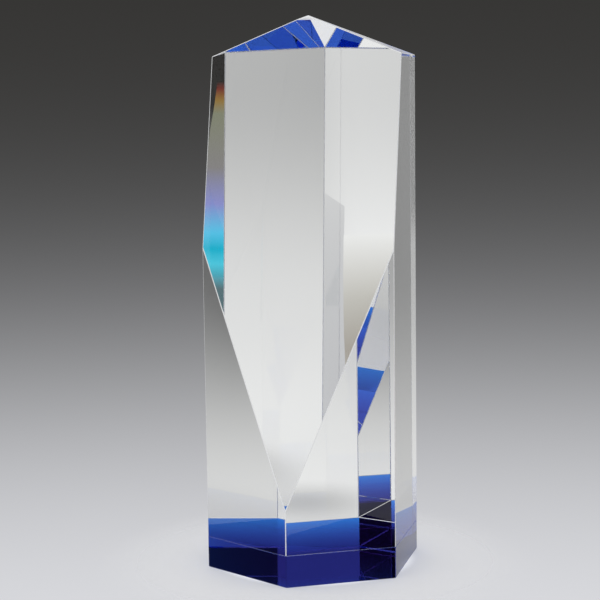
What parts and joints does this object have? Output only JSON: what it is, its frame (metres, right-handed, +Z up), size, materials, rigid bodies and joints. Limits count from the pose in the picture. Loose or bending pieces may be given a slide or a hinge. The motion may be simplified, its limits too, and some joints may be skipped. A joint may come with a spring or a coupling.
{
  "type": "crystal tower award",
  "caption": "Free-standing clear crystal tower award: hexagonal prism with a slanted front facet, a low pyramid tip and a bonded blue crystal base.",
  "frame": {"origin": "centre of the underside of the blue base, on the surface that the award stands on", "axes": "+Z up along the tower's axis, -Y towards the front edge and the slanted facet, +X to the right seen from the front"},
  "size_m": [0.089, 0.1026, 0.254],
  "materials": {
    "clear_crystal": "polished",
    "adhesive": "clear",
    "blue_crystal": "polished"
  },
  "bodies": {
    "root": {"crystal_tower": "clear_crystal", "bond_layer": "adhesive", "blue_base": "blue_crystal"}
  },
  "joints": []
}
